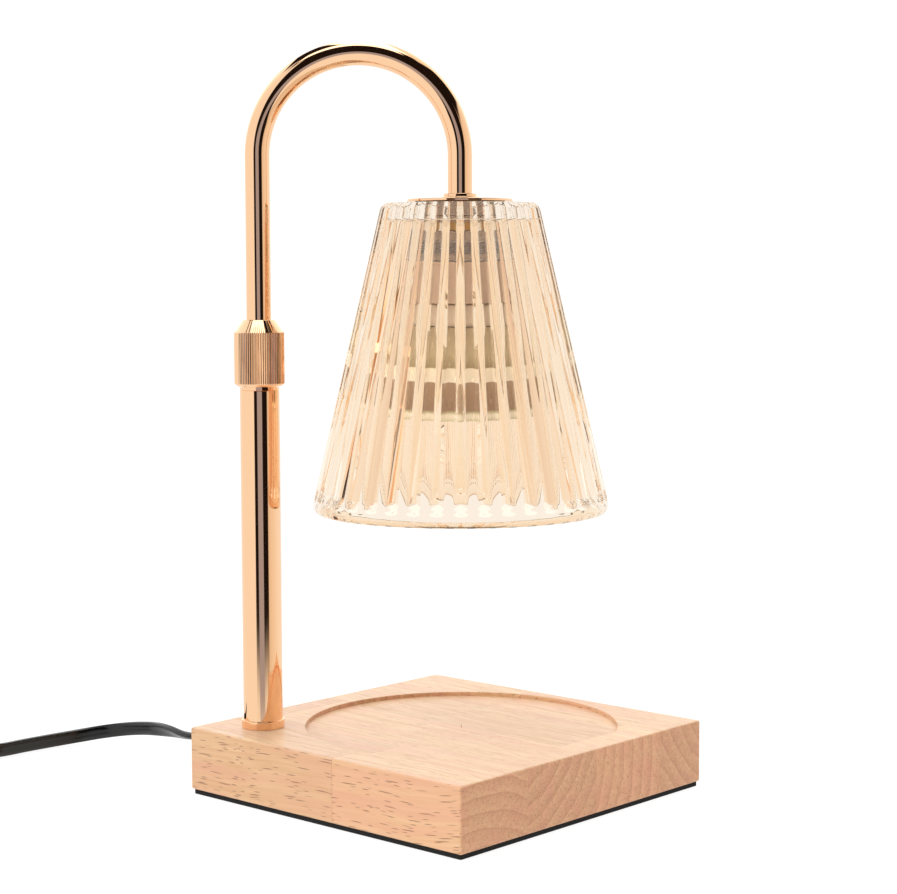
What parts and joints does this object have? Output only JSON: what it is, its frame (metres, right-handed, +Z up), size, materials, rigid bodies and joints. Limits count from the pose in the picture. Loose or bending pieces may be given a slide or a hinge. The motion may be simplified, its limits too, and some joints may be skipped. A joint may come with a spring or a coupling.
{
  "type": "candle warmer lamp",
  "caption": "Candle warmer lamp: square wooden base with a round recess, post with a sliding and turning gooseneck, ribbed glass shade round a reflector bulb, and a lead with a dimmer and plug.",
  "frame": {"origin": "middle of the underside of the pad, on the surface that the lamp stands on", "axes": "+Z up; +X away from the side that the lead comes out of; the gooseneck's arch lies over the base's diagonal from -X -Y to +X +Y"},
  "size_m": [0.271, 0.3222, 0.3039],
  "materials": {
    "rose_gold": "polished rose gold plate on steel tube",
    "satin_steel": "satin zinc-plated steel",
    "brass": "turned brass",
    "rubberwood": "sanded rubberwood under a matt lacquer",
    "foam_rubber": "black closed-cell foam rubber",
    "soft_rubber": "black moulded rubber",
    "lead_vinyl": "black satin vinyl sheath",
    "silicone": "off-white silicone insulation",
    "dark_plastic": "black moulded plastic, fine texture",
    "nylon": "natural white nylon",
    "champagne_glass": "pressed champagne-tinted glass, glossy",
    "clear_glass": "clear glass",
    "steatite": "unglazed tan steatite",
    "lamp_cement": "cream lamp ceramic",
    "reflector_glass": "pressed reflector glass with a bright coating inside",
    "circuit_board": "green circuit board"
  },
  "bodies": {
    "root": {"base_block": "rubberwood", "base_pad": "foam_rubber", "lead_boot": "soft_rubber", "lead_end_in_base": "lead_vinyl", "lead_clamp": "dark_plastic", "clamp_screw_1": "satin_steel", "clamp_screw_2": "satin_steel", "crimp_connector_1": "nylon", "crimp_connector_2": "nylon", "line_wire": "silicone", "neutral_wire": "silicone", "stem_nipple": "brass", "stem_washer": "satin_steel", "stem_nut": "brass", "foot_ring": "rose_gold", "post_tube": "rose_gold", "post_plug": "brass", "collar_ferrule": "rose_gold", "clamp_collet": "nylon", "slack_lead": "silicone", "lead": "lead_vinyl", "lead_to_coil": "lead_vinyl", "lead_coil": "lead_vinyl", "coil_tie": "soft_rubber", "lead_to_plug": "lead_vinyl", "dimmer_lower_shell": "dark_plastic", "dimmer_upper_shell": "dark_plastic", "dimmer_gland_1": "soft_rubber", "dimmer_gland_2": "soft_rubber", "dimmer_board": "circuit_board", "dimmer_potentiometer": "satin_steel", "dimmer_screw_1": "satin_steel", "dimmer_screw_2": "satin_steel", "plug_body": "dark_plastic", "plug_blade_1": "brass", "plug_blade_2": "brass"},
    "lock_collar": {"lock_collar": "rose_gold"},
    "arm_guide": {"guide_bush": "nylon"},
    "arm": {"arm_tube": "rose_gold", "arm_clip_lower": "satin_steel", "arm_clip_upper": "satin_steel", "arm_lead": "silicone", "top_hub": "rose_gold", "shade_plate": "rose_gold", "shade_gasket": "soft_rubber", "head_washer": "satin_steel", "head_nut": "brass", "glass_shade": "champagne_glass", "holder_cap": "satin_steel", "lamp_holder": "steatite", "holder_contact_1": "brass", "holder_contact_2": "brass"},
    "bulb": {"bulb_base": "lamp_cement", "bulb_pin_1": "satin_steel", "bulb_pin_2": "satin_steel", "bulb_reflector": "reflector_glass", "bulb_lens": "clear_glass", "bulb_capsule": "clear_glass"},
    "dimmer_wheel": {"dimmer_wheel": "dark_plastic", "dimmer_spindle": "nylon"}
  },
  "joints": [
    {"name": "arm_height", "type": "slide", "parent": "root", "child": "arm_guide", "axis": [0, 0, 1], "range_m": [-0.03, 0.046], "deforming": ["slack_lead"]},
    {"name": "arm_swivel", "type": "hinge", "parent": "arm_guide", "child": "arm", "pos_m": [-0.053, -0.053, 0.101], "axis": [0, 0, 1], "range_deg": [-170, 170]},
    {"name": "collar_lock", "type": "hinge", "parent": "root", "child": "lock_collar", "pos_m": [-0.053, -0.053, 0.18], "axis": [0, 0, 1], "range_deg": [0, 270]},
    {"name": "bulb_twist", "type": "hinge", "parent": "arm", "child": "bulb", "pos_m": [0.0042, 0.0042, 0.199], "axis": [0, 0, -1], "range_deg": [0, 30]},
    {"name": "dimmer_turn", "type": "hinge", "parent": "root", "child": "dimmer_wheel", "pos_m": [-0.1785, -0.158, 0.007], "axis": [0, 0, 1], "range_deg": [0, 270]}
  ]
}
